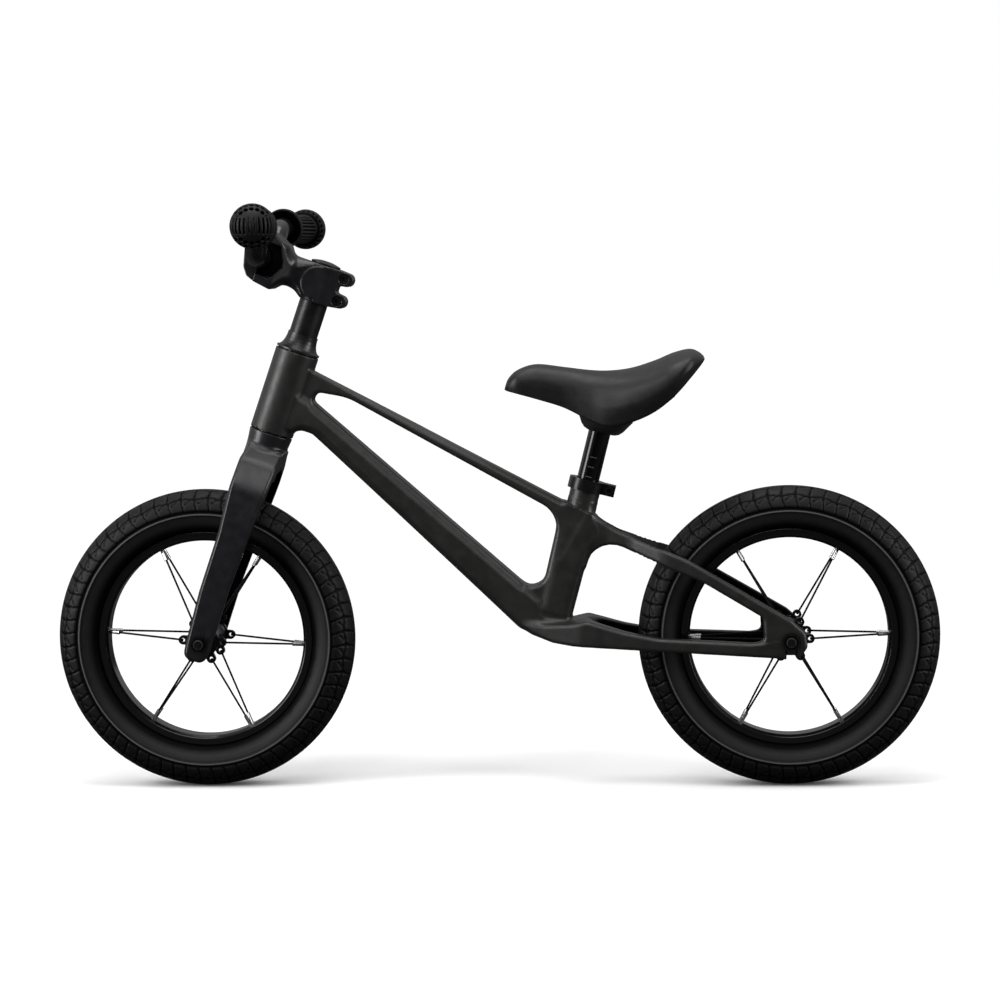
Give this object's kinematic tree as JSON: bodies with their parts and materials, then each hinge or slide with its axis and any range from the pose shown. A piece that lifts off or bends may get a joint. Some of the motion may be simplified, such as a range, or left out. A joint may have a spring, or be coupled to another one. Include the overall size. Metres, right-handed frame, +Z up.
{
  "type": "balance bike",
  "caption": "Child's pedal-less balance bike: cast frame, straight fork, spoked pneumatic wheels, riser handlebar with ball-ended grips, height-adjustable saddle.",
  "frame": {"origin": "on the ground, midway between the two axles and in the bike's middle plane", "axes": "+X forward, +Y to the rider's left, +Z up"},
  "size_m": [0.8846, 0.4482, 0.5814],
  "materials": {
    "frame_paint": "painted matte charcoal",
    "fork_paint": "painted satin blue-black",
    "bar_paint": "satin black",
    "gloss_black_tube": "gloss black",
    "black_anodised": "satin black",
    "steel": "plain machined",
    "dark_steel": "blackened",
    "axle_nut": "dark polished",
    "tyre_rubber": "matte black",
    "tube_rubber": "matte black",
    "grip_rubber": "matte black",
    "rim_black": "gloss black",
    "hub_black": "satin black",
    "spoke_black": "black",
    "nipple_bright": "bright plated",
    "black_plastic": "matte",
    "saddle_shell": "matte",
    "saddle_skin": "satin grained skin"
  },
  "bodies": {
    "frame": {"frame": "frame_paint", "headset_upper_bearing": "steel", "headset_lower_bearing": "steel", "seat_clamp": "black_anodised", "seat_clamp_bolt": "dark_steel", "seat_clamp_nut": "dark_steel", "rear_axle": "dark_steel", "rear_axle_nuts": "axle_nut", "rear_axle_washers": "dark_steel", "rear_axle_spacers": "steel"},
    "steering": {"fork": "fork_paint", "steerer_tube": "steel", "crown_race": "steel", "headset_cone": "fork_paint", "compression_ring": "steel", "stem_spacer": "fork_paint", "stem": "fork_paint", "stem_faceplate": "fork_paint", "faceplate_bolts": "dark_steel", "stem_bolts": "dark_steel", "stem_cap": "black_plastic", "stem_cap_bolt": "dark_steel", "star_nut": "steel", "front_axle": "dark_steel", "front_axle_nuts": "axle_nut", "front_axle_washers": "dark_steel", "front_axle_spacers": "steel"},
    "bar": {"handlebar": "bar_paint", "left_grip": "grip_rubber", "right_grip": "grip_rubber"},
    "front_wheel": {"front_tyre": "tyre_rubber", "front_inner_tube": "tube_rubber", "front_valve": "tube_rubber", "front_rim_tape": "black_plastic", "front_rim": "rim_black", "front_hub": "hub_black", "front_hub_bearings": "steel", "front_spokes": "spoke_black", "front_nipples": "nipple_bright"},
    "rear_wheel": {"rear_tyre": "tyre_rubber", "rear_inner_tube": "tube_rubber", "rear_valve": "tube_rubber", "rear_rim_tape": "black_plastic", "rear_rim": "rim_black", "rear_hub": "hub_black", "rear_hub_bearings": "steel", "rear_spokes": "spoke_black", "rear_nipples": "nipple_bright"},
    "seat": {"seatpost": "gloss_black_tube", "seatpost_plug": "black_plastic", "seatpost_insert": "steel", "saddle_base": "saddle_shell", "saddle_cover": "saddle_skin", "saddle_bolt": "steel"}
  },
  "joints": [
    {"name": "steering", "type": "hinge", "parent": "frame", "child": "steering", "pos_m": [0.22324, 0, 0.35723], "axis": [-0.3272, 0, 0.9449], "continuous": true},
    {"name": "bar_roll", "type": "hinge", "parent": "steering", "child": "bar", "pos_m": [0.22887, 0, 0.53167], "axis": [0, 1, 0], "range_deg": [-15, 15]},
    {"name": "front_wheel_spin", "type": "hinge", "parent": "steering", "child": "front_wheel", "pos_m": [0.29225, 0, 0.15], "axis": [0, 1, 0], "continuous": true},
    {"name": "rear_wheel_spin", "type": "hinge", "parent": "frame", "child": "rear_wheel", "pos_m": [-0.29225, 0, 0.15], "axis": [0, 1, 0], "continuous": true},
    {"name": "seat_height", "type": "slide", "parent": "frame", "child": "seat", "axis": [-0.2453, 0, 0.9694], "range_m": [-0.035, 0.04]}
  ]
}
